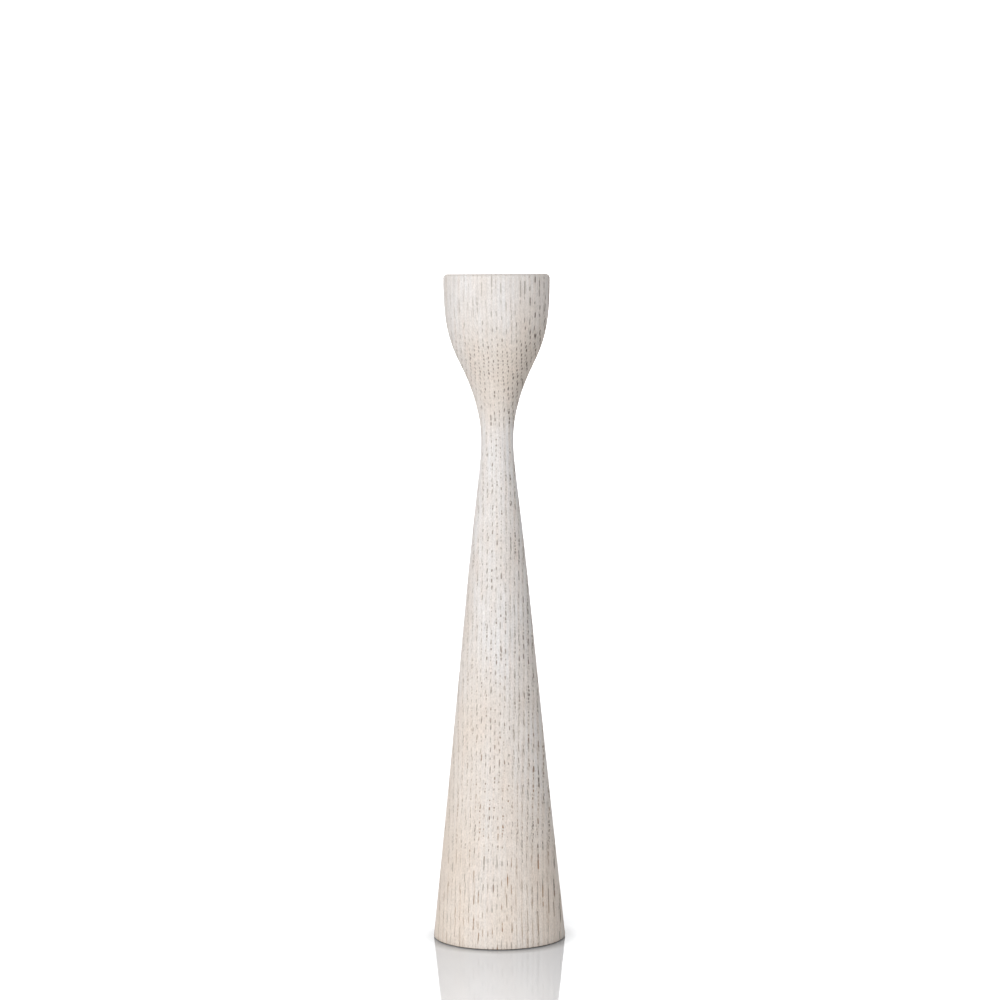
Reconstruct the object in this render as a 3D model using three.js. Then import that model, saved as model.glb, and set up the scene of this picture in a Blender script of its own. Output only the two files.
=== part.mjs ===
// Turned oak candlestick for one 22 mm dinner candle.
//
// Millimetres, +Z up. Z is the turning axis and z = 0 is the table it stands on.
// The wood is one turning from a single billet. A loose brass cup drops into the head,
// and a steel weight and a felt pad are let into the underside of the foot.

import * as THREE from 'three';

// ---- Turned body: outside ----
const HEIGHT = 320; // table to the top of the rim
const FELT_STAND = 0.3; // the felt holds the wood this far off the table
const FOOT_RADIUS = 31.8;
const FOOT_EASE = 0.4; // arris taken off the bottom edge
const STEM_RADIUS = 15.9; // half way up, where the cone starts to draw into the neck
const STEM_HEIGHT = 159;
const STEM_HOLLOWING = 0.36; // how far the lower cone bows inwards at its control point
const NECK_RADIUS = 7.75; // narrowest place
const NECK_HEIGHT = 241;
const NECK_TAPER_RUN = 60; // length over which the cone keeps its slope above STEM_HEIGHT
const NECK_SWEEP_BELOW = 13.5; // how gradually the neck leaves the vertical, below and above
const NECK_SWEEP_ABOVE = 11.3;
const BELL_RADIUS = 15.8; // where the head turns from hollow curve to round curve
const BELL_HEIGHT = 273.4;
const BELL_SLOPE = 0.48; // outwards per millimetre upwards at that point
const BELL_SWEEP_BELOW = 9;
const BELL_SWEEP_ABOVE = 11.8;
const RIM_RADIUS = 25.5;
const RIM_SWEEP = 26.4; // length over which the side of the head comes up to vertical
const RIM_ROUND = 2; // round-over at the outer edge of the rim

// ---- Turned body: drip dish and socket in the head ----
const DISH_RADIUS = 21;
const DISH_LIP_ROUND = 0.9;
const DISH_DEPTH = 7;
const DISH_FLOOR_RADIUS = 16.4;
const SOCKET_RADIUS = 12.3;
const SOCKET_DEPTH = 26; // below the dish floor

// ---- Turned body: underside of the foot ----
const FELT_RECESS_RADIUS = 30.6;
const FELT_THICKNESS = 1.6;
const WEIGHT_POCKET_RADIUS = 16;
const WEIGHT_POCKET_DEPTH = 18; // above the felt recess

// ---- Brass cup ----
const CANDLE_RADIUS = 11.15; // 22 mm candle and a little play
const CUP_WALL = 0.75;
const CUP_FLOOR = 0.8;
const CUP_DEPTH = 25.2; // mouth to inner floor
const CUP_CORNER = 0.7; // rounded corners at the bottom of the drawn cup
const MOUTH_ROUND = 0.9; // where the wall rolls over into the flange
const FLANGE_THICKNESS = 0.8;
const FLANGE_BEAD_RADIUS = 0.75; // rolled edge
const FLANGE_RADIUS = 15.7; // outside of the rolled edge

// ---- Steel weight ----
const WEIGHT_RADIUS = 15.7;
const WEIGHT_THICKNESS = 17;
const WEIGHT_CHAMFER = 0.5;

// ---- Felt pad ----
const FELT_RADIUS = 30.3;

// Every piece is turned with the same divisions, so the gaps between them stay even all round.
const DIVISIONS = 64;

const OAK = { color: 0xded5ca, roughness: 0.72, metalness: 0 };
const BRASS = { color: 0xc4a363, roughness: 0.34, metalness: 1 };
const STEEL = { color: 0x8b8d90, roughness: 0.5, metalness: 1 };
const FELT = { color: 0x8f8a82, roughness: 0.95, metalness: 0 };

const dishFloor = HEIGHT - DISH_DEPTH;
const feltRecess = FELT_THICKNESS;

function point(radius, z) {
  return new THREE.Vector2(radius, z);
}

// Quarter-round from one outline point to another, leaving the first in the direction of
// `corner`: the outline would be square there if it were not rounded.
function roundedCorner(from, corner, to, steps) {
  const across = corner.clone().sub(from);
  const along = to.clone().sub(corner);
  const points = [];
  for (let i = 0; i <= steps; i++) {
    const angle = ((Math.PI / 2) * i) / steps;
    points.push(
      from.clone()
        .addScaledVector(across, Math.sin(angle))
        .addScaledVector(along, 1 - Math.cos(angle)),
    );
  }
  return points;
}

// Outside of the body from the foot up to where the rim starts to round over.
function bodySide() {
  const foot = point(FOOT_RADIUS, FELT_STAND + FOOT_EASE);
  const stem = point(STEM_RADIUS, STEM_HEIGHT);
  const hollow = foot.clone().lerp(stem, 0.5);
  hollow.x -= STEM_HOLLOWING;
  const stemSlope = (hollow.x - stem.x) / (stem.y - hollow.y);
  const neck = point(NECK_RADIUS, NECK_HEIGHT);
  const bell = point(BELL_RADIUS, BELL_HEIGHT);
  const rim = point(RIM_RADIUS, HEIGHT - RIM_ROUND);

  const cone = new THREE.QuadraticBezierCurve(foot, hollow, stem);
  const taper = new THREE.CubicBezierCurve(
    stem,
    point(STEM_RADIUS - stemSlope * NECK_TAPER_RUN, STEM_HEIGHT + NECK_TAPER_RUN),
    point(NECK_RADIUS, NECK_HEIGHT - NECK_SWEEP_BELOW),
    neck,
  );
  const flare = new THREE.CubicBezierCurve(
    neck,
    point(NECK_RADIUS, NECK_HEIGHT + NECK_SWEEP_ABOVE),
    point(BELL_RADIUS - BELL_SLOPE * BELL_SWEEP_BELOW, BELL_HEIGHT - BELL_SWEEP_BELOW),
    bell,
  );
  const head = new THREE.CubicBezierCurve(
    bell,
    point(BELL_RADIUS + BELL_SLOPE * BELL_SWEEP_ABOVE, BELL_HEIGHT + BELL_SWEEP_ABOVE),
    point(RIM_RADIUS, rim.y - RIM_SWEEP),
    rim,
  );
  return [
    ...cone.getPoints(5),
    ...taper.getPoints(11).slice(1),
    ...flare.getPoints(8).slice(1),
    ...head.getPoints(10).slice(1),
  ];
}

function turnedBodyOutline() {
  const dishSweep = new THREE.QuadraticBezierCurve(
    point(DISH_RADIUS - DISH_LIP_ROUND, HEIGHT - DISH_LIP_ROUND),
    point(DISH_RADIUS - DISH_LIP_ROUND, dishFloor),
    point(DISH_FLOOR_RADIUS, dishFloor),
  );
  return [
    point(0, feltRecess + WEIGHT_POCKET_DEPTH),
    point(WEIGHT_POCKET_RADIUS, feltRecess + WEIGHT_POCKET_DEPTH),
    point(WEIGHT_POCKET_RADIUS, feltRecess),
    point(FELT_RECESS_RADIUS, feltRecess),
    point(FELT_RECESS_RADIUS, FELT_STAND),
    point(FOOT_RADIUS - FOOT_EASE, FELT_STAND),
    ...bodySide(),
    ...roundedCorner(
      point(RIM_RADIUS, HEIGHT - RIM_ROUND),
      point(RIM_RADIUS, HEIGHT),
      point(RIM_RADIUS - RIM_ROUND, HEIGHT),
      5,
    ).slice(1),
    ...roundedCorner(
      point(DISH_RADIUS, HEIGHT),
      point(DISH_RADIUS - DISH_LIP_ROUND, HEIGHT),
      point(DISH_RADIUS - DISH_LIP_ROUND, HEIGHT - DISH_LIP_ROUND),
      3,
    ),
    ...dishSweep.getPoints(6).slice(1),
    point(SOCKET_RADIUS, dishFloor),
    point(SOCKET_RADIUS, dishFloor - SOCKET_DEPTH),
    point(0, dishFloor - SOCKET_DEPTH),
  ];
}

function candleCupOutline() {
  const flangeTop = dishFloor + FLANGE_THICKNESS;
  const innerFloor = flangeTop - CUP_DEPTH;
  const bottom = innerFloor - CUP_FLOOR;
  const outerRadius = CANDLE_RADIUS + CUP_WALL;

  // Rolled edge: most of a circle standing on the dish floor, open on its inner side.
  const beadCentre = point(FLANGE_RADIUS - FLANGE_BEAD_RADIUS, dishFloor + FLANGE_BEAD_RADIUS);
  const bead = [];
  const beadSteps = 8;
  for (let i = 0; i <= beadSteps; i++) {
    const angle = THREE.MathUtils.degToRad(-90 + (225 * i) / beadSteps);
    bead.push(
      point(
        beadCentre.x + FLANGE_BEAD_RADIUS * Math.cos(angle),
        beadCentre.y + FLANGE_BEAD_RADIUS * Math.sin(angle),
      ),
    );
  }
  return [
    point(0, bottom),
    ...roundedCorner(
      point(outerRadius - CUP_CORNER, bottom),
      point(outerRadius, bottom),
      point(outerRadius, bottom + CUP_CORNER),
      3,
    ),
    point(outerRadius, dishFloor),
    ...bead,
    point(beadCentre.x - 1.2 * FLANGE_BEAD_RADIUS, flangeTop),
    ...roundedCorner(
      point(CANDLE_RADIUS + MOUTH_ROUND, flangeTop),
      point(CANDLE_RADIUS, flangeTop),
      point(CANDLE_RADIUS, flangeTop - MOUTH_ROUND),
      4,
    ),
    ...roundedCorner(
      point(CANDLE_RADIUS, innerFloor + CUP_CORNER),
      point(CANDLE_RADIUS, innerFloor),
      point(CANDLE_RADIUS - CUP_CORNER, innerFloor),
      3,
    ),
    point(0, innerFloor),
  ];
}

function baseWeightOutline() {
  const top = feltRecess + WEIGHT_POCKET_DEPTH; // glued against the top of its pocket
  const bottom = top - WEIGHT_THICKNESS;
  return [
    point(0, bottom),
    point(WEIGHT_RADIUS - WEIGHT_CHAMFER, bottom),
    point(WEIGHT_RADIUS, bottom + WEIGHT_CHAMFER),
    point(WEIGHT_RADIUS, top - WEIGHT_CHAMFER),
    point(WEIGHT_RADIUS - WEIGHT_CHAMFER, top),
    point(0, top),
  ];
}

function feltPadOutline() {
  return [point(0, 0), point(FELT_RADIUS, 0), point(FELT_RADIUS, feltRecess), point(0, feltRecess)];
}

// Turns an outline, listed from the axis outwards and back, about Z.
function turned(name, outline, finish) {
  const geometry = new THREE.LatheGeometry(outline, DIVISIONS);
  geometry.rotateX(Math.PI / 2); // LatheGeometry turns about Y
  const mesh = new THREE.Mesh(geometry, new THREE.MeshStandardMaterial(finish));
  mesh.name = name;
  return mesh;
}

const candlestick = new THREE.Group();
candlestick.name = 'candlestick';
candlestick.add(
  turned('turned_body', turnedBodyOutline(), OAK),
  turned('candle_cup', candleCupOutline(), BRASS),
  turned('base_weight', baseWeightOutline(), STEEL),
  turned('felt_pad', feltPadOutline(), FELT),
);

export default candlestick;
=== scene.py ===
"""A turned oak candlestick, whitewashed, with a loose brass cup, a weighted foot and a felt pad."""

import math
from functools import partial

import bpy
import numpy as np
from mathutils import Matrix, Vector


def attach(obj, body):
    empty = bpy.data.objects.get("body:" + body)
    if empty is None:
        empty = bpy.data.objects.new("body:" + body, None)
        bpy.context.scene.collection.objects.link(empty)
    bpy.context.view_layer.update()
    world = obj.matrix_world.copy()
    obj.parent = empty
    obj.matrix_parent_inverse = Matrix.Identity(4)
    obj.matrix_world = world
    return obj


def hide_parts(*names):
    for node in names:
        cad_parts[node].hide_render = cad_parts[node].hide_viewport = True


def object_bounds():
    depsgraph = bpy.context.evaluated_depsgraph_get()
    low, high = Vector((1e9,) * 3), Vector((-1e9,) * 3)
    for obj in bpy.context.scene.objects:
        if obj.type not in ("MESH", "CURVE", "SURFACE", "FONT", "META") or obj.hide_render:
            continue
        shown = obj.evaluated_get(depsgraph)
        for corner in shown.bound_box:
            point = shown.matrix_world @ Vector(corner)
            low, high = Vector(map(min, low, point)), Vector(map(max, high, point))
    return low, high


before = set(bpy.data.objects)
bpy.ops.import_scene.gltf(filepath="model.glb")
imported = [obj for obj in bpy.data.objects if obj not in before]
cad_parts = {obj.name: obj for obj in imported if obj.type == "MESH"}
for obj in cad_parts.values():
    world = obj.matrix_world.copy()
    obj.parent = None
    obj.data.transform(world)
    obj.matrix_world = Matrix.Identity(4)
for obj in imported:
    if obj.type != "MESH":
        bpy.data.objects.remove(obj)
cad_low, cad_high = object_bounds()

# ---------------------------------------------------------------------------------------------
# Camera. It stands well back at the height of the rim, so the rim is seen as a line and the
# foot from a little above, and it leans a quarter of a degree.
# ---------------------------------------------------------------------------------------------

MM = 0.001
rim_height = cad_high.z
CAMERA_DISTANCE = 1400 * MM
CAMERA_RIGHT = 1.2 * MM
AIM_HEIGHT = 0.662 * rim_height
CAMERA_LEAN = math.radians(-0.27)
FOCAL_LENGTH = 105.4
SENSOR_WIDTH = 36

camera_place = Vector((CAMERA_RIGHT, -CAMERA_DISTANCE, rim_height))
aim_point = Vector((CAMERA_RIGHT, 0, AIM_HEIGHT))
camera_data = bpy.data.cameras.new("camera")
camera_data.lens = FOCAL_LENGTH
camera_data.sensor_width = SENSOR_WIDTH
camera = bpy.data.objects.new("camera", camera_data)
facing = (aim_point - camera_place).to_track_quat("-Z", "Y").to_matrix().to_4x4()
lean = Matrix.Rotation(CAMERA_LEAN, 4, "Z")
camera.matrix_world = Matrix.Translation(camera_place) @ facing @ lean
bpy.context.scene.collection.objects.link(camera)
bpy.context.scene.camera = camera

# ---------------------------------------------------------------------------------------------
# The body. One piece of oak, turned between centres from a 65 mm square: a cone that draws
# into a slim neck and opens into a bell-shaped head, with a dish and a socket bored in the top
# and a weight pocket and a shallow felt recess bored in the foot.
# ---------------------------------------------------------------------------------------------

FELT_STAND = 0.3
FOOT_RADIUS = 31.8
FOOT_EASE = 0.4
STEM_RADIUS = 15.9
STEM_HEIGHT = 159
STEM_HOLLOWING = 0.36
NECK_RADIUS = 7.75
NECK_HEIGHT = 241
NECK_TAPER_RUN = 60
NECK_SWEEP_BELOW = 13.5
NECK_SWEEP_ABOVE = 11.3
BELL_RADIUS = 15.8
BELL_HEIGHT = 273.4
BELL_SLOPE = 0.48
BELL_SWEEP_BELOW = 9
BELL_SWEEP_ABOVE = 11.8
RIM_RADIUS = 25.5
RIM_SWEEP = 26.4
RIM_ROUND = 2
DISH_RADIUS = 21
DISH_LIP_ROUND = 0.9
DISH_DEPTH = 7
DISH_FLOOR_RADIUS = 16.4
SOCKET_RADIUS = 12.3
SOCKET_DEPTH = 26
FELT_RECESS_RADIUS = 30.6
FELT_THICKNESS = 1.6
WEIGHT_POCKET_RADIUS = 16
WEIGHT_POCKET_DEPTH = 18

HEIGHT = rim_height / MM
dish_floor = HEIGHT - DISH_DEPTH
pocket_top = FELT_THICKNESS + WEIGHT_POCKET_DEPTH
BODY_TURNS = 240
SHARP_ANGLE = math.radians(32)  # edges sharper than this aren't shaded smooth

# How many steps each stretch of the outline is divided into, from the foot to the dish.
EASE_STEPS = 4
CONE_STEPS = 84
TAPER_STEPS = 60
FLARE_STEPS = 32
HEAD_STEPS = 40
RIM_STEPS = 10
LIP_STEPS = 5
DISH_STEPS = 12
RECESS_POINTS = 8
POCKET_CEILING_RING = 8  # radius of an extra ring that keeps the faces of a flat disc short
SOCKET_FLOOR_RING = 6


def bezier(controls, steps):
    """Points along a Bezier curve: the sum over its control points k of n of
    C(n, k) t^k (1 - t)^(n - k) times the point, as t goes from 0 to 1."""
    t = np.linspace(0, 1, steps + 1)[:, None]
    n = len(controls) - 1
    return sum(
        math.comb(n, k) * t**k * (1 - t) ** (n - k) * np.array(control, float)
        for k, control in enumerate(controls)
    )


def quarter_round(start, corner, end, steps):
    """Quarter of an ellipse that leaves start towards corner and arrives at end from corner:
    start + (corner - start) sin a + (end - corner) (1 - cos a), as a goes from 0 to 90 degrees."""
    a = np.linspace(0, math.pi / 2, steps + 1)[:, None]
    start, corner, end = np.array(start, float), np.array(corner, float), np.array(end, float)
    return start + (corner - start) * np.sin(a) + (end - corner) * (1 - np.cos(a))


def turned(name, outline, turns):
    """A solid of revolution. Every outline point (r, z), in mm, is carried round Z as
    (r cos a, r sin a, z) for evenly spaced angles a. The outline starts and ends on the axis,
    where each end is one pole, and runs so that the faces look outwards."""
    ring = np.asarray(outline[1:-1], float) * MM
    a = np.arange(turns) * 2 * math.pi / turns
    x = ring[:, 0, None] * np.cos(a)
    y = ring[:, 0, None] * np.sin(a)
    z = np.broadcast_to(ring[:, 1, None], x.shape)
    poles = [[0, 0, outline[0][1] * MM], [0, 0, outline[-1][1] * MM]]
    points = np.vstack([np.stack([x, y, z], -1).reshape(-1, 3), poles])
    rows = len(ring)
    here = np.arange(turns)
    after = (here + 1) % turns
    row = np.arange(rows - 1)[:, None] * turns
    quads = np.stack([row + here, row + after, row + turns + after, row + turns + here], -1)
    first, last = rows * turns, rows * turns + 1
    start_fan = np.stack([np.full(turns, first), after, here], -1)
    end_row = (rows - 1) * turns
    end_fan = np.stack([np.full(turns, last), end_row + here, end_row + after], -1)
    faces = quads.reshape(-1, 4).tolist() + start_fan.tolist() + end_fan.tolist()
    mesh = bpy.data.meshes.new(name)
    mesh.from_pydata(points.tolist(), [], faces)
    mesh.polygons.foreach_set("use_smooth", np.ones(len(faces), bool))
    mesh.set_sharp_from_angle(angle=SHARP_ANGLE)
    mesh.update()
    piece = bpy.data.objects.new(name, mesh)
    bpy.context.scene.collection.objects.link(piece)
    return piece


def body_outline():
    """The whole section of the body as (r, z) in mm, from the ceiling of the weight pocket out
    under the foot, up the outside, over the rim and down through the dish to the socket floor."""
    foot = (FOOT_RADIUS, FELT_STAND + FOOT_EASE)
    stem = (STEM_RADIUS, STEM_HEIGHT)
    neck = (NECK_RADIUS, NECK_HEIGHT)
    bell = (BELL_RADIUS, BELL_HEIGHT)
    rim = (RIM_RADIUS, HEIGHT - RIM_ROUND)
    hollow = ((foot[0] + stem[0]) / 2 - STEM_HOLLOWING, (foot[1] + stem[1]) / 2)
    stem_slope = (hollow[0] - stem[0]) / (stem[1] - hollow[1])
    taper_end = (STEM_RADIUS - stem_slope * NECK_TAPER_RUN, STEM_HEIGHT + NECK_TAPER_RUN)
    bell_below = (BELL_RADIUS - BELL_SLOPE * BELL_SWEEP_BELOW, BELL_HEIGHT - BELL_SWEEP_BELOW)
    bell_above = (BELL_RADIUS + BELL_SLOPE * BELL_SWEEP_ABOVE, BELL_HEIGHT + BELL_SWEEP_ABOVE)
    neck_below = (NECK_RADIUS, NECK_HEIGHT - NECK_SWEEP_BELOW)
    neck_above = (NECK_RADIUS, NECK_HEIGHT + NECK_SWEEP_ABOVE)
    cone = bezier([foot, hollow, stem], CONE_STEPS)
    taper = bezier([stem, taper_end, neck_below, neck], TAPER_STEPS)
    flare = bezier([neck, neck_above, bell_below, bell], FLARE_STEPS)
    head = bezier([bell, bell_above, (RIM_RADIUS, rim[1] - RIM_SWEEP), rim], HEAD_STEPS)
    rim_top = (RIM_RADIUS - RIM_ROUND, HEIGHT)
    rim_round = quarter_round(rim, (RIM_RADIUS, HEIGHT), rim_top, RIM_STEPS)
    lip_foot = (DISH_RADIUS - DISH_LIP_ROUND, HEIGHT - DISH_LIP_ROUND)
    lip = quarter_round((DISH_RADIUS, HEIGHT), (lip_foot[0], HEIGHT), lip_foot, LIP_STEPS)
    dish_corner = (lip_foot[0], dish_floor)
    dish = bezier([lip_foot, dish_corner, (DISH_FLOOR_RADIUS, dish_floor)], DISH_STEPS)
    socket_floor = dish_floor - SOCKET_DEPTH
    under_edge = (FOOT_RADIUS - FOOT_EASE, FELT_STAND)
    foot_ease = quarter_round(under_edge, (FOOT_RADIUS, FELT_STAND), foot, EASE_STEPS)
    recess = np.linspace(WEIGHT_POCKET_RADIUS, FELT_RECESS_RADIUS, RECESS_POINTS)
    return np.vstack([
        [(0, pocket_top), (POCKET_CEILING_RING, pocket_top), (WEIGHT_POCKET_RADIUS, pocket_top)],
        [(WEIGHT_POCKET_RADIUS, pocket_top / 2)],
        [(r, FELT_THICKNESS) for r in recess],
        [(FELT_RECESS_RADIUS, FELT_STAND)],
        foot_ease, cone[1:], taper[1:], flare[1:], head[1:], rim_round[1:], lip, dish[1:],
        [(SOCKET_RADIUS, dish_floor)],
        [(SOCKET_RADIUS, dish_floor - SOCKET_DEPTH / 2)],
        [(SOCKET_RADIUS, socket_floor), (SOCKET_FLOOR_RING, socket_floor), (0, socket_floor)],
    ])


def linear(hex_colour):
    """An sRGB hex colour as linear red, green, blue and full alpha."""
    channels = [int(hex_colour[i : i + 2], 16) / 255 for i in (1, 3, 5)]
    red_green_blue = [c / 12.92 if c <= 0.04045 else ((c + 0.055) / 1.055) ** 2.4 for c in channels]
    return red_green_blue + [1]


def add_node(tree, kind, inputs, **settings):
    """Adds a node to a material. settings are its options. Each input, by name or number, takes
    a value, another node's first output in use, or one output of a node."""
    made = tree.nodes.new("ShaderNode" + kind)
    for name, value in settings.items():
        setattr(made, name, value)
    for name, value in inputs.items():
        if isinstance(name, str):
            socket = next(s for s in made.inputs if s.name == name and s.enabled)
        else:
            socket = made.inputs[name]
        if isinstance(value, bpy.types.Node):
            value = next(s for s in value.outputs if s.enabled)
        if isinstance(value, bpy.types.NodeSocket):
            tree.links.new(value, socket)
        else:
            socket.default_value = value
    return made


def new_material(name):
    """An empty material, and the function that adds nodes to it."""
    material = bpy.data.materials.new(name)
    material.use_nodes = True
    material.node_tree.nodes.clear()
    return material, partial(add_node, material.node_tree)


def per_mm(x, y, z):
    """Scale of a pattern whose grains are x, y and z millimetres long, on metre coordinates."""
    return (1000 / x, 1000 / y, 1000 / z)


RING_MM = 2.2  # one year's growth; the rings stand nearly square to X
RING_BEND_MM = 240  # the pith of the tree lies this far off to one side
CLOSING_MM = 1.1  # grain of the noise that closes the vessels
PORE_EDGE = 0.18  # width of a pore's soft edge, as a part of its bore
EARLY_VESSELS = {"spacing_mm": 0.47, "bore_mm": (0.64, 0.34), "place_in_ring": 0.0, "seed": 3.5}
LATE_VESSELS = {"spacing_mm": 0.42, "bore_mm": (0.42, 0.24), "place_in_ring": 0.42, "seed": 11.5}
LATE_STRENGTH = 0.32  # the late vessels are finer, and show less
# The side painted darker as shade, away from the light, is turned this far to the right of the front.
PAINTED_SHADE_ANGLE = math.radians(55)  # to the right of the front
PAINTED_SHADE_SIDE = (math.sin(PAINTED_SHADE_ANGLE), -math.cos(PAINTED_SHADE_ANGLE), 0)

WASH_WHITE = "#D9D8D8"
WASH_THIN = "#D5CEC8"
WASH_OVER_EARLY_WOOD = "#CBC3BC"
OAK_THROUGH_WASH = "#DCCAB6"
UNDER_HEAD_THIN_WASH_AND_SHADE = "#D2C5B7"
UNDER_HEAD_PAINTED_SHADE = "#A79E95"
OAK_BLUSH = "#DACBC0"
PORE_LIMED = "#ABA299"
PORE_OPEN = "#7C726A"
PORE_IN_PAINTED_SHADE = "#4C433C"
PORE_BROWN = "#9C7655"
END_GRAIN = "#ADA59D"


def vessel_row(add, grain, outward, rise, always_open, wider, spacing_mm, bore_mm, place_in_ring, seed):
    """One row of open vessels in each growth ring: tubes that run up the tree, a little flattened
    between the rays. The ring and the depth are cut into cells, ring by spacing; each cell holds
    one tube, set off its middle at random, and lime closes the tube over random stretches of its
    length. always_open (0 to 1) is the least that a tube is open, and wider (0 to 1) widens it by
    up to a seventh. Gives how open the wood is here (0 to 1), how deep the opening goes (0 to 1),
    which is deep where the surface cuts the near side of a tube and shallow where it cuts the far
    side, and the place measured from the middle of the tube, in bores."""
    wide, deep = bore_mm
    per_cell = (1 / RING_MM, 1 / spacing_mm, 0)
    cells = add("VectorMath", {0: grain, 1: per_cell, 2: (place_in_ring, seed, 0)},
                operation="MULTIPLY_ADD")
    ring = add("VectorMath", {0: cells, 1: (1, 0, 0)}, operation="MULTIPLY")
    ring = add("VectorMath", {0: ring}, operation="FLOOR")
    slip = add("TexWhiteNoise", {"Vector": ring}, noise_dimensions="3D")
    slip = add("CombineXYZ", {"Y": slip.outputs["Value"]})
    cells = add("VectorMath", {0: cells, 1: slip}, operation="ADD")
    cell = add("VectorMath", {0: cells}, operation="FLOOR")
    inside = add("VectorMath", {0: cells}, operation="FRACTION")
    chance = add("TexWhiteNoise", {"Vector": cell}, noise_dimensions="3D")
    centre = add("VectorMath", {0: chance.outputs["Color"], 1: (0.24, 0.36, 0), 2: (0.38, 0.32, 0)},
                 operation="MULTIPLY_ADD")
    off = add("VectorMath", {0: inside, 1: centre}, operation="SUBTRACT")
    off = add("VectorMath", {0: off, 1: (RING_MM / wide, spacing_mm / deep, 0)}, operation="MULTIPLY")
    distance = add("VectorMath", {0: off}, operation="LENGTH").outputs["Value"]

    along = add("VectorMath", {0: cell, 1: (7.3, 3.9, 0)}, operation="MULTIPLY")
    along = add("VectorMath", {0: along, 1: add("CombineXYZ", {"Z": rise})}, operation="ADD")
    closing = add("TexNoise", {"Vector": along, "Scale": 1, "Detail": 0})
    open_here = add("MapRange", {"Value": closing, "From Min": 0.37, "From Max": 0.55})
    size = add("Math", {0: chance.outputs["Value"], 1: 0.4, 2: 0.8}, operation="MULTIPLY_ADD")
    open_here = add("Math", {0: open_here, 1: always_open}, operation="MAXIMUM")
    radius = add("Math", {0: size, 1: open_here}, operation="MULTIPLY")
    half = add("Math", {0: always_open, 1: -0.05, 2: 0.5}, operation="MULTIPLY_ADD")
    half = add("Math", {0: wider, 1: 0.07, 2: half}, operation="MULTIPLY_ADD")
    radius = add("Math", {0: radius, 1: half}, operation="MULTIPLY")
    edge = add("Math", {0: radius, 1: distance}, operation="SUBTRACT")
    opening = add("Math", {0: edge, 1: 1 / PORE_EDGE, 2: 0.1}, operation="MULTIPLY_ADD", use_clamp=True)
    emptied = add("MapRange", {"Value": size, "From Min": 0.8, "From Max": 1.15,
                               "To Min": 0.7, "To Max": 1})
    opening = add("Math", {0: opening, 1: emptied}, operation="MULTIPLY")

    near = add("VectorMath", {0: off, 1: outward}, operation="DOT_PRODUCT").outputs["Value"]
    depth = add("Math", {0: near, 1: 1, 2: 0.5}, operation="MULTIPLY_ADD", use_clamp=True)
    return opening, depth, off


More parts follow.
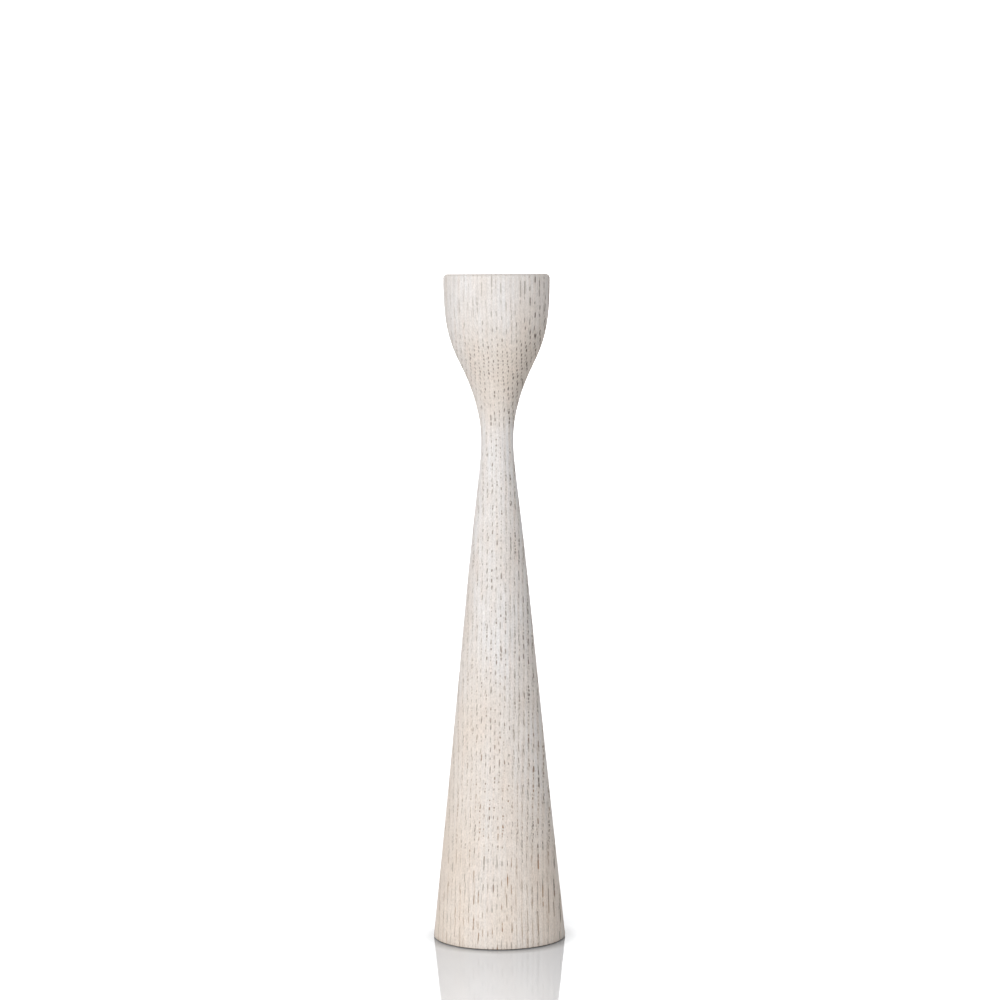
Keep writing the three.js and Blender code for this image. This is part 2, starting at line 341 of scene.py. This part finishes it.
def whitewashed_oak():
    """Ring-porous oak under a thin white wash that has been wiped back and left matt. The grain
    is solid: the same rings and vessels run through the whole billet, so a steep face shows long
    dashes, a sloping one short dots and the end grain rows of pores, and the wash lies pale
    between them. Ray flecks show as smooth, paler patches with few pores."""
    material, add = new_material("whitewashed_oak")
    coords = add("TexCoord", {})
    here = coords.outputs["Object"]
    outward = coords.outputs["Normal"]
    facing = add("SeparateXYZ", {0: outward})
    in_mm = add("VectorMath", {0: here, 1: (1000, 1000, 1000)}, operation="MULTIPLY")
    height = add("SeparateXYZ", {0: in_mm}).outputs["Z"]

    # The tree never grew quite straight: a slow bend of whole rings, and vessels that wander.
    bend = add("Mapping", {"Vector": here, "Scale": per_mm(45, 45, 150)})
    bend = add("TexNoise", {"Vector": bend, "Scale": 1, "Detail": 1})
    bend = add("VectorMath", {0: bend.outputs["Color"], 1: (4, 4, 0), 2: (-2, -2, 0)},
               operation="MULTIPLY_ADD")
    wander = add("Mapping", {"Vector": here, "Scale": per_mm(2.4, 2.4, 12)})
    wander = add("TexNoise", {"Vector": wander, "Scale": 1, "Detail": 1})
    wander = add("VectorMath", {0: wander.outputs["Color"], 1: (0.8, 0.5, 0), 2: (-0.4, -0.25, 0)},
                 operation="MULTIPLY_ADD")
    grain = add("VectorMath", {0: in_mm, 1: bend}, operation="ADD")
    grain = add("VectorMath", {0: grain, 1: wander}, operation="ADD")
    # The rings are arcs round a pith far off along -X: distance from it, less its own distance.
    from_pith = add("VectorMath", {0: grain, 1: (RING_BEND_MM, 0, 0)}, operation="ADD")
    from_pith = add("VectorMath", {0: from_pith, 1: (1, 1, 0)}, operation="MULTIPLY")
    from_pith = add("VectorMath", {0: from_pith}, operation="LENGTH").outputs["Value"]
    ring_place = add("Math", {0: from_pith, 1: RING_BEND_MM}, operation="SUBTRACT")
    # The rings are a little wider towards the foot, which was nearer the butt of the tree.
    butt = add("MapRange", {"Value": height, "From Min": 0, "From Max": 170,
                            "To Min": 0.93, "To Max": 1})
    ring_place = add("Math", {0: ring_place, 1: butt}, operation="MULTIPLY")
    # Above the neck the vessels are wider and further apart, as they are where a tree slows down,
    # and at the foot the grain leans forward with the surface, so that its dashes are longer.
    spread = add("MapRange", {"Value": height, "From Min": 224, "From Max": 256,
                              "To Min": 1, "To Max": 0.5}, interpolation_type="SMOOTHSTEP")
    # They are further apart on the right of the front as well, and there, away from the light, the wash
    # and the pores are darkened as painted shade, most of all under the head and on the lower half of the
    # stem.
    facing_down = add("MapRange", {"Value": facing.outputs["Z"], "From Min": -0.05, "From Max": -0.4})
    painted_shade_here = add("MapRange", {"Value": height, "From Min": 200, "From Max": 130,
                                  "To Min": 0.7, "To Max": 0.94})
    painted_shade_here = add("Math", {0: facing_down, 1: 0.8, 2: painted_shade_here}, operation="MULTIPLY_ADD")
    upright = add("MapRange", {"Value": height, "From Min": 276, "From Max": 296, "To Max": 0.1})
    painted_shade_here = add("Math", {0: upright, 1: painted_shade_here}, operation="ADD")
    painted_shade_right = add("VectorMath", {0: outward, 1: PAINTED_SHADE_SIDE}, operation="DOT_PRODUCT").outputs["Value"]
    painted_shade_right = add("MapRange", {"Value": painted_shade_right, "From Min": 0.76, "From Max": 0.96})
    painted_shade_right = add("Math", {0: painted_shade_right, 1: painted_shade_here}, operation="MULTIPLY")
    # On the left, the side towards the light, the pores are painted paler: painted light.
    painted_light_left = add("MapRange", {"Value": facing.outputs["X"], "From Min": -0.2, "From Max": -0.85})
    sparser = add("Math", {0: painted_shade_right, 1: -0.5, 2: 1}, operation="MULTIPLY_ADD")
    spread = add("Math", {0: spread, 1: sparser}, operation="MULTIPLY")
    spread = add("Math", {0: spread, 1: 0.45}, operation="MAXIMUM")
    lean_forward = add("MapRange", {"Value": height, "From Min": 0, "From Max": 48,
                                    "To Min": 2.4, "To Max": 0})
    depth_place = add("SeparateXYZ", {0: grain}).outputs["Y"]
    depth_place = add("Math", {0: depth_place, 1: spread, 2: lean_forward}, operation="MULTIPLY_ADD")
    grain = add("CombineXYZ", {"X": ring_place, "Y": depth_place, "Z": height})

    # Medullary rays: smooth patches with few vessels, taller than they are wide.
    rays = add("Mapping", {"Vector": here, "Scale": per_mm(6, 7, 15)})
    rays = add("TexNoise", {"Vector": rays, "Scale": 1, "Detail": 1})
    rays = add("MapRange", {"Value": rays, "From Min": 0.63, "From Max": 0.7})

    # The lime closes a vessel every 2 mm or so, a third as often at the foot and under half as
    # often near the rim.
    rise_foot = add("MapRange", {"Value": height, "From Min": 0, "From Max": 45,
                                 "To Min": 27, "To Max": 0})
    rise_head = add("MapRange", {"Value": height, "From Min": 284, "From Max": 320,
                                 "To Min": 0, "To Max": -18})
    rise = add("Math", {0: rise_foot, 1: rise_head}, operation="ADD")
    rise = add("Math", {0: height, 1: 1 / CLOSING_MM, 2: rise}, operation="MULTIPLY_ADD")
    # The early ones stay open on the grain that faces down, and two thirds open at the foot.
    stay_open = add("MapRange", {"Value": height, "From Min": 75, "From Max": 15,
                                 "To Min": 0, "To Max": 0.66})
    stay_open = add("Math", {0: stay_open, 1: facing_down}, operation="MAXIMUM")
    early, early_depth, early_off = vessel_row(
        add, grain, outward, rise, stay_open, painted_shade_right, **EARLY_VESSELS
    )
    late = vessel_row(add, grain, outward, rise, 0, painted_shade_right, **LATE_VESSELS)[0]
    late = add("Math", {0: late, 1: LATE_STRENGTH}, operation="MULTIPLY")
    pores = add("Math", {0: early, 1: late}, operation="MAXIMUM")
    clear = add("Math", {0: rays, 1: -0.7, 2: 1}, operation="MULTIPLY_ADD")
    pores = add("Math", {0: pores, 1: clear}, operation="MULTIPLY")
    clear = add("Math", {0: painted_light_left, 1: -0.2, 2: 1}, operation="MULTIPLY_ADD")
    pores = add("Math", {0: pores, 1: clear}, operation="MULTIPLY")
    # The upright side of the head took the wash best: its vessels are nearly half filled, except
    # where they were wiped out.
    unfilled = add("MapRange", {"Value": height, "From Min": 282, "From Max": 300,
                                "To Min": 1, "To Max": 0.56})
    unfilled = add("Math", {0: unfilled, 1: painted_shade_right}, operation="MAXIMUM")
    pores = add("Math", {0: pores, 1: unfilled}, operation="MULTIPLY")

    # The wash: whiter where it lay thick, warmer where the wood shows through.
    patches = add("Mapping", {"Vector": here, "Scale": per_mm(16, 16, 55)})
    patches = add("TexNoise", {"Vector": patches, "Scale": 1, "Detail": 2})
    patches = add("MapRange", {"Value": patches, "From Min": 0.35, "From Max": 0.68})
    wash = add("Mix", {"Factor": patches, "A": linear(WASH_WHITE), "B": linear(WASH_THIN)},
               data_type="RGBA")
    # The early wood of each ring shows through as a greyer band.
    band = add("SeparateXYZ", {0: early_off}).outputs["X"]
    band = add("Math", {0: band}, operation="ABSOLUTE")
    band = add("MapRange", {"Value": band, "From Min": 1.4, "From Max": 0.3})
    # The band is stronger on the right, away from the light: painted shade.
    band_strength = add("Math", {0: painted_shade_right, 1: 0.5, 2: 0.38}, operation="MULTIPLY_ADD")
    band = add("Math", {0: band, 1: band_strength}, operation="MULTIPLY")
    wash = add("Mix", {"Factor": band, "A": wash, "B": linear(WASH_OVER_EARLY_WOOD)}, data_type="RGBA")
    # The wash was rubbed thinner towards the foot: more of the oak shows there. Under the head it is
    # darker too, partly a thinner wash and partly painted shade.
    low = add("MapRange", {"Value": height, "From Min": 150, "From Max": 10})
    thin_wash_and_shade = add("Math", {0: low, 1: 0.4}, operation="MULTIPLY")
    wash = add("Mix", {"Factor": thin_wash_and_shade, "A": wash, "B": linear(OAK_THROUGH_WASH)}, data_type="RGBA")
    # The lower stem is also warmer on the left, the lit side, with the same mask as the painted light.
    warm = add("MapRange", {"Value": height, "From Min": 185, "From Max": 110, "To Max": 0.3})
    warm = add("Math", {0: warm, 1: painted_light_left}, operation="MULTIPLY")
    wash = add("Mix", {"Factor": warm, "A": wash, "B": linear(OAK_THROUGH_WASH)}, data_type="RGBA")
    # Under the head, where the surface faces down, the wash is darker: partly a thinner wash, partly painted
    # shade, a little less on the lit left side.
    thin_wash_and_shade = add("Math", {0: painted_light_left, 1: -0.2, 2: 0.6}, operation="MULTIPLY_ADD")
    thin_wash_and_shade = add("Math", {0: facing_down, 1: thin_wash_and_shade}, operation="MULTIPLY")
    wash = add("Mix", {"Factor": thin_wash_and_shade, "A": wash, "B": linear(UNDER_HEAD_THIN_WASH_AND_SHADE)}, data_type="RGBA")
    # Darker still under the head on the right, away from the light: painted shade.
    thin_wash_and_shade = add("Math", {0: facing_down, 1: painted_shade_right}, operation="MULTIPLY")
    thin_wash_and_shade = add("Math", {0: thin_wash_and_shade, 1: 0.35}, operation="MULTIPLY")
    wash = add("Mix", {"Factor": thin_wash_and_shade, "A": wash, "B": linear(UNDER_HEAD_PAINTED_SHADE)}, data_type="RGBA")
    # The lowest few millimetres are a touch paler.
    pale = add("MapRange", {"Value": height, "From Min": 5, "From Max": 32,
                            "To Min": 1.05, "To Max": 1})
    wash = add("VectorMath", {0: wash, 1: pale}, operation="MULTIPLY")
    # Here and there the oak's own colour comes through as a faint blush.
    blush = add("Mapping", {"Vector": here, "Scale": per_mm(3.5, 3.5, 24)})
    blush = add("TexNoise", {"Vector": blush, "Scale": 1, "Detail": 1})
    blush = add("MapRange", {"Value": blush, "From Min": 0.5, "From Max": 0.72, "To Max": 0.28})
    wash = add("Mix", {"Factor": blush, "A": wash, "B": linear(OAK_BLUSH)}, data_type="RGBA")
    fibres = add("Mapping", {"Vector": here, "Scale": per_mm(0.55, 0.55, 12)})
    fibres = add("TexNoise", {"Vector": fibres, "Scale": 1, "Detail": 3, "Roughness": 0.6})
    fibre_tone = add("MapRange", {"Value": fibres, "From Min": 0.3, "From Max": 0.7,
                                  "To Min": 0.91, "To Max": 1.08})
    wash = add("VectorMath", {0: wash, 1: fibre_tone}, operation="MULTIPLY")
    # Specks of dried wash are 0.1 mm across; they are drawn at 0.5 mm, so that they can be seen.
    specks = add("Mapping", {"Vector": here, "Scale": per_mm(0.5, 0.5, 0.9)})
    specks = add("TexNoise", {"Vector": specks, "Scale": 1, "Detail": 1})
    speck_tone = add("MapRange", {"Value": specks, "From Min": 0.3, "From Max": 0.7,
                                  "To Min": 0.91, "To Max": 1.09})
    wash = add("VectorMath", {0: wash, 1: speck_tone}, operation="MULTIPLY")
    ray_tone = add("Math", {0: rays, 1: 0.03, 2: 1}, operation="MULTIPLY_ADD")
    wash = add("VectorMath", {0: wash, 1: ray_tone}, operation="MULTIPLY")
    # Under the head the pores are darker, partly for less wash in them and partly as painted shade,
    # and they are darkest on the right, away from the light, as painted shade. Low down they are browner.
    depth_and_underside_shade = add("Math", {0: facing_down, 1: 0.35}, operation="MULTIPLY")
    depth_and_underside_shade = add("Math", {0: early_depth, 1: 0.8, 2: depth_and_underside_shade}, operation="MULTIPLY_ADD")
    pore_colour = add("Mix", {"Factor": depth_and_underside_shade, "A": linear(PORE_LIMED), "B": linear(PORE_OPEN)},
                      data_type="RGBA")
    # On the right, away from the light, the pores are painted darker: painted shade.
    empty = add("Math", {0: painted_shade_right, 1: 0.76}, operation="MULTIPLY")
    pore_colour = add("Mix", {"Factor": empty, "A": pore_colour, "B": linear(PORE_IN_PAINTED_SHADE)}, data_type="RGBA")
    browner = add("Mapping", {"Vector": here, "Scale": per_mm(5, 5, 18)})
    browner = add("TexNoise", {"Vector": browner, "Scale": 1, "Detail": 1})
    browner = add("MapRange", {"Value": browner, "From Min": 0.42, "From Max": 0.6})
    browner = add("Math", {0: browner, 1: low}, operation="MULTIPLY")
    pore_colour = add("Mix", {"Factor": browner, "A": pore_colour, "B": linear(PORE_BROWN)}, data_type="RGBA")
    colour = add("Mix", {"Factor": pores, "A": wash, "B": pore_colour}, data_type="RGBA")

    # End grain, on the rim and in the dish, drinks the wash and stays darker.
    end_grain = add("MapRange", {"Value": facing.outputs["Z"], "From Min": 0.3, "From Max": 0.9,
                                 "To Max": 0.45})
    colour = add("Mix", {"Factor": end_grain, "A": colour, "B": linear(END_GRAIN)}, data_type="RGBA")

    roughness = add("MapRange", {"Value": pores, "To Min": 0.74, "To Max": 0.95})
    relief = add("Math", {0: fibres, 1: 0.12}, operation="MULTIPLY")
    relief = add("Math", {0: relief, 1: pores}, operation="SUBTRACT")
    bump = add("Bump", {"Height": relief, "Distance": 0.14 * MM, "Strength": 0.8})
    surface = add("BsdfPrincipled", {"Base Color": colour, "Roughness": roughness, "Normal": bump,
                                     "IOR": 1.48, "Specular IOR Level": 0.3})
    add("OutputMaterial", {"Surface": surface})
    return material


body = turned("oak_body", body_outline(), BODY_TURNS)
body.data.materials.append(whitewashed_oak())
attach(body, "stand")
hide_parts("turned_body")

# ---------------------------------------------------------------------------------------------
# The weight. A slug sawn from round mild steel bar and faced, glued into the pocket behind the
# felt so that the tall body stands firmly. The frame's own solid has the right shape.
# ---------------------------------------------------------------------------------------------

STEEL_SAWN = "#8F9092"
STEEL_SKIN = "#6B6966"


def sawn_steel():
    """Mild steel bar as it comes off the saw: dull grey, with a darker mill skin in patches and
    fine parallel saw lines, which give its light a soft streak."""
    material, add = new_material("sawn_mild_steel")
    here = add("TexCoord", {}).outputs["Object"]
    skin = add("Mapping", {"Vector": here, "Scale": per_mm(5, 5, 5)})
    skin = add("TexNoise", {"Vector": skin, "Scale": 1, "Detail": 4})
    saw = add("Mapping", {"Vector": here, "Scale": per_mm(0.35, 9, 2)})
    saw = add("TexNoise", {"Vector": saw, "Scale": 1, "Detail": 2})
    colour = add("Mix", {"Factor": skin, "A": linear(STEEL_SAWN), "B": linear(STEEL_SKIN)},
                 data_type="RGBA")
    roughness = add("MapRange", {"Value": skin, "From Min": 0.3, "From Max": 0.7,
                                 "To Min": 0.38, "To Max": 0.6})
    bump = add("Bump", {"Height": saw, "Distance": 0.02 * MM, "Strength": 0.6})
    surface = add("BsdfPrincipled", {"Base Color": colour, "Metallic": 1, "Roughness": roughness,
                                     "Normal": bump})
    add("OutputMaterial", {"Surface": surface})
    return material


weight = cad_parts["base_weight"]
weight.data.materials.clear()
weight.data.materials.append(sawn_steel())

# ---------------------------------------------------------------------------------------------
# The pad. A disc punched from pressed wool felt and glued into its recess; it stands a little
# below the wood, so the foot never touches the table.
# ---------------------------------------------------------------------------------------------

FELT_RADIUS = 30.3
FELT_EDGE = 0.35
PAD_TURNS = 160
FELT_DARK = "#716C66"
FELT_PALE = "#A9A49C"


def felt_outline():
    """Section of the disc: flat below and above, with the punched edge slightly rounded."""
    top = FELT_THICKNESS
    flat_radius = FELT_RADIUS - FELT_EDGE
    lower = quarter_round((flat_radius, 0), (FELT_RADIUS, 0), (FELT_RADIUS, FELT_EDGE), 4)
    upper = quarter_round((FELT_RADIUS, top - FELT_EDGE), (FELT_RADIUS, top), (flat_radius, top), 4)
    across = np.linspace(3, FELT_RADIUS - 2, 10)
    return np.vstack([
        [(0, 0)], [(r, 0) for r in across], lower,
        upper, [(r, top) for r in across[::-1]], [(0, top)],
    ])


def wool_felt():
    """Pressed wool felt, grey: short fibres lying every way, dull all over, slightly mottled."""
    material, add = new_material("pressed_wool_felt")
    here = add("TexCoord", {}).outputs["Object"]
    # Wool fibres are 0.02 mm thick; the tangle is drawn from 1.6 mm down, so that it can be seen.
    tangle = add("Mapping", {"Vector": here, "Scale": per_mm(1.6, 1.6, 1.6)})
    tangle = add("TexNoise", {"Vector": tangle, "Scale": 1, "Detail": 5, "Roughness": 0.7,
                              "Distortion": 1.6})
    cloud = add("Mapping", {"Vector": here, "Scale": per_mm(9, 9, 9)})
    cloud = add("TexNoise", {"Vector": cloud, "Scale": 1, "Detail": 2})
    tone = add("Math", {0: tangle, 1: 0.7}, operation="MULTIPLY")
    tone = add("Math", {0: cloud, 1: 0.3, 2: tone}, operation="MULTIPLY_ADD")
    tone = add("MapRange", {"Value": tone, "From Min": 0.32, "From Max": 0.68})
    colour = add("Mix", {"Factor": tone, "A": linear(FELT_DARK), "B": linear(FELT_PALE)},
                 data_type="RGBA")
    bump = add("Bump", {"Height": tangle, "Distance": 0.25 * MM, "Strength": 0.8})
    surface = add("BsdfPrincipled", {"Base Color": colour, "Roughness": 0.95, "Normal": bump,
                                     "Sheen Weight": 0.3, "Sheen Roughness": 0.5})
    add("OutputMaterial", {"Surface": surface})
    return material


pad = turned("felt_disc", felt_outline(), PAD_TURNS)
pad.data.materials.append(wool_felt())
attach(pad, "stand")
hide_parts("felt_pad")

# ---------------------------------------------------------------------------------------------
# The cup. Thin brass, drawn to a cup for a 22 mm candle and spun out to a flange with a rolled
# edge. It is dropped loose into the socket and lifts out to be cleaned of wax.
# ---------------------------------------------------------------------------------------------

CANDLE_RADIUS = 11.15
CUP_WALL = 0.75
CUP_FLOOR = 0.8
CUP_DEPTH = 25.2
CUP_CORNER = 0.7
MOUTH_ROUND = 0.9
FLANGE_THICKNESS = 0.8
FLANGE_BEAD_RADIUS = 0.75
FLANGE_RADIUS = 15.7
CUP_TURNS = 160
BRASS_BRIGHT = "#D2AE6D"
BRASS_TARNISHED = "#A98350"


def cup_outline():
    """Section of the cup as (r, z) in mm, from the middle of its underside up the outside, out
    under the flange, round the rolled edge and back down the inside to the middle of its floor."""
    flange_top = dish_floor + FLANGE_THICKNESS
    inner_floor = flange_top - CUP_DEPTH
    bottom = inner_floor - CUP_FLOOR
    outer = CANDLE_RADIUS + CUP_WALL
    bead_r = FLANGE_RADIUS - FLANGE_BEAD_RADIUS
    bead_z = dish_floor + FLANGE_BEAD_RADIUS
    a = np.radians(np.linspace(-90, 135, 19))
    bead = (bead_r, bead_z) + FLANGE_BEAD_RADIUS * np.column_stack([np.cos(a), np.sin(a)])
    corner_top = (outer, bottom + CUP_CORNER)
    corner = quarter_round((outer - CUP_CORNER, bottom), (outer, bottom), corner_top, 6)
    mouth = quarter_round((CANDLE_RADIUS + MOUTH_ROUND, flange_top), (CANDLE_RADIUS, flange_top),
                          (CANDLE_RADIUS, flange_top - MOUTH_ROUND), 10)
    floor_corner = quarter_round((CANDLE_RADIUS, inner_floor + CUP_CORNER), (CANDLE_RADIUS, inner_floor),
                                 (CANDLE_RADIUS - CUP_CORNER, inner_floor), 6)
    wall = np.linspace(bottom + CUP_CORNER, dish_floor, 10)[1:]
    inner_wall = np.linspace(flange_top - MOUTH_ROUND, inner_floor + CUP_CORNER, 10)[1:-1]
    return np.vstack([
        [(0, bottom), (6, bottom)], corner, [(outer, z) for z in wall], bead,
        [(bead_r - 1.2 * FLANGE_BEAD_RADIUS, flange_top)], mouth,
        [(CANDLE_RADIUS, z) for z in inner_wall], floor_corner, [(6, inner_floor), (0, inner_floor)],
    ])


def spun_brass():
    """Brass, spun and lightly lacquered: rings of fine tool marks round the axis, a warm satin
    shine, and a little brown tarnish in patches."""
    material, add = new_material("spun_brass")
    here = add("TexCoord", {}).outputs["Object"]
    flat = add("VectorMath", {0: here, 1: (1, 1, 0)}, operation="MULTIPLY")
    radius = add("VectorMath", {0: flat}, operation="LENGTH").outputs["Value"]
    rise = add("SeparateXYZ", {0: here}).outputs["Z"]
    section = add("CombineXYZ", {"X": radius, "Z": rise})
    # Spinning marks are about 0.1 mm apart; they are drawn at 0.35 mm, so that they can be seen.
    marks = add("Mapping", {"Vector": section, "Scale": per_mm(0.35, 1, 0.35)})
    marks = add("TexNoise", {"Vector": marks, "Scale": 1, "Detail": 2})
    tarnish = add("Mapping", {"Vector": here, "Scale": per_mm(4, 4, 5)})
    tarnish = add("TexNoise", {"Vector": tarnish, "Scale": 1, "Detail": 4, "Roughness": 0.6})
    tarnish = add("MapRange", {"Value": tarnish, "From Min": 0.4, "From Max": 0.75})
    colour = add("Mix", {"Factor": tarnish, "A": linear(BRASS_BRIGHT), "B": linear(BRASS_TARNISHED)},
                 data_type="RGBA")
    roughness = add("MapRange", {"Value": marks, "From Min": 0.3, "From Max": 0.7,
                                 "To Min": 0.24, "To Max": 0.4})
    bump = add("Bump", {"Height": marks, "Distance": 0.02 * MM, "Strength": 0.5})
    surface = add("BsdfPrincipled", {"Base Color": colour, "Metallic": 1, "Roughness": roughness,
                                     "Normal": bump})
    add("OutputMaterial", {"Surface": surface})
    return material


cup = turned("brass_cup", cup_outline(), CUP_TURNS)
cup.data.materials.append(spun_brass())
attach(cup, "cup")
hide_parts("candle_cup")

# ---------------------------------------------------------------------------------------------
# Table and light. A glossy white table top, one large soft light at the front left, and light
# from all round that is strongest from above and weakest from the right. The room itself is
# seen, straight on and in a gloss, as plain bright white, whatever light it gives.
# ---------------------------------------------------------------------------------------------

table_height = cad_low.z
TABLE_REACH = 8
LAMINATE_PAINTED_SHADE = "#E2E4E7"
LAMINATE_WHITE = "#FDFDFE"
PAINTED_SHADE_FULL_TO = 45 * MM
PAINTED_SHADE_GONE_AT = 140 * MM
PAINTED_SHADOW_AT_FOOT = 0.5
PAINTED_SHADOW_ENDS = 41 * MM
ROOM_WHITE = 2.2
SIDE_LIGHT = 0.3
CEILING_LIGHT = 1.0
DIM_SIDE = 0.35  # how much of that light comes from the right
KEY_POWER = 86
KEY_SIZE = 2.2
KEY_PLACE = Vector((-1.0, -3.1, 1.9))


def glossy_white_top():
    """White gloss laminate: pale, with a clear mirror image at a low angle. It is painted greyer
    towards the foot as painted shade, and darker still close round it as a painted contact shadow;
    neither is cast by the lights."""
    material, add = new_material("white_gloss_laminate")
    here = add("TexCoord", {}).outputs["Object"]
    from_foot = add("VectorMath", {0: here}, operation="LENGTH").outputs["Value"]
    # Painted shade: the top is greyer within 45 mm of the axis, fading to white by 140 mm.
    out_of_painted_shade = add("MapRange", {"Value": from_foot, "From Min": PAINTED_SHADE_FULL_TO, "From Max": PAINTED_SHADE_GONE_AT})
    colour = add("Mix", {"Factor": out_of_painted_shade, "A": linear(LAMINATE_PAINTED_SHADE), "B": linear(LAMINATE_WHITE)},
                 data_type="RGBA")
    # A painted contact shadow: half as bright at the foot's edge, fading out by 41 mm from the axis.
    painted_contact_shadow = add("MapRange", {"Value": from_foot, "From Min": FOOT_RADIUS * MM, "From Max": PAINTED_SHADOW_ENDS,
                             "To Min": PAINTED_SHADOW_AT_FOOT, "To Max": 1}, interpolation_type="SMOOTHSTEP")
    colour = add("VectorMath", {0: colour, 1: painted_contact_shadow}, operation="MULTIPLY")
    surface = add("BsdfPrincipled", {"Base Color": colour, "Roughness": 0.04, "IOR": 1.5})
    add("OutputMaterial", {"Surface": surface})
    return material


table_mesh = bpy.data.meshes.new("table_top")
sides = ((-1, -1), (1, -1), (1, 1), (-1, 1))
corners = [(x * TABLE_REACH, y * TABLE_REACH, table_height) for x, y in sides]
table_mesh.from_pydata(corners, [], [(0, 1, 2, 3)])
table_top = bpy.data.objects.new("table_top", table_mesh)
table_top.data.materials.append(glossy_white_top())
bpy.context.scene.collection.objects.link(table_top)

world = bpy.data.worlds.new("white_room")
world.use_nodes = True
room = world.node_tree
room.nodes.clear()
add = partial(add_node, room)
light_path = add("LightPath", {})
seen = add("Math", {0: light_path.outputs["Is Camera Ray"], 1: light_path.outputs["Is Glossy Ray"]},
           operation="MAXIMUM")
direction = add("SeparateXYZ", {0: add("TexCoord", {}).outputs["Generated"]})
dimmer = add("MapRange", {"Value": direction.outputs["X"], "From Min": -0.3, "From Max": 1,
                          "To Min": 1, "To Max": DIM_SIDE})
strength = add("MapRange", {"Value": direction.outputs["Z"], "From Min": 0.2, "From Max": 1,
                            "To Min": SIDE_LIGHT, "To Max": CEILING_LIGHT})
strength = add("Math", {0: strength, 1: dimmer}, operation="MULTIPLY")
light_given = add("Background", {"Color": (1, 1, 1, 1), "Strength": strength})
white_seen = add("Background", {"Color": (1, 1, 1, 1), "Strength": ROOM_WHITE})
mixed = add("MixShader", {0: seen, 1: light_given, 2: white_seen})
add("OutputWorld", {"Surface": mixed})
bpy.context.scene.world = world

key_data = bpy.data.lights.new("key", "AREA")
key_data.energy = KEY_POWER
key_data.shape = "SQUARE"
key_data.size = KEY_SIZE
key = bpy.data.objects.new("key", key_data)
key_aim = Vector((0, 0, 0.5 * rim_height))
key_turn = (key_aim - KEY_PLACE).to_track_quat("-Z", "Y").to_matrix().to_4x4()
key.matrix_world = Matrix.Translation(KEY_PLACE) @ key_turn
bpy.context.scene.collection.objects.link(key)

bpy.context.scene.view_settings.view_transform = "Standard"
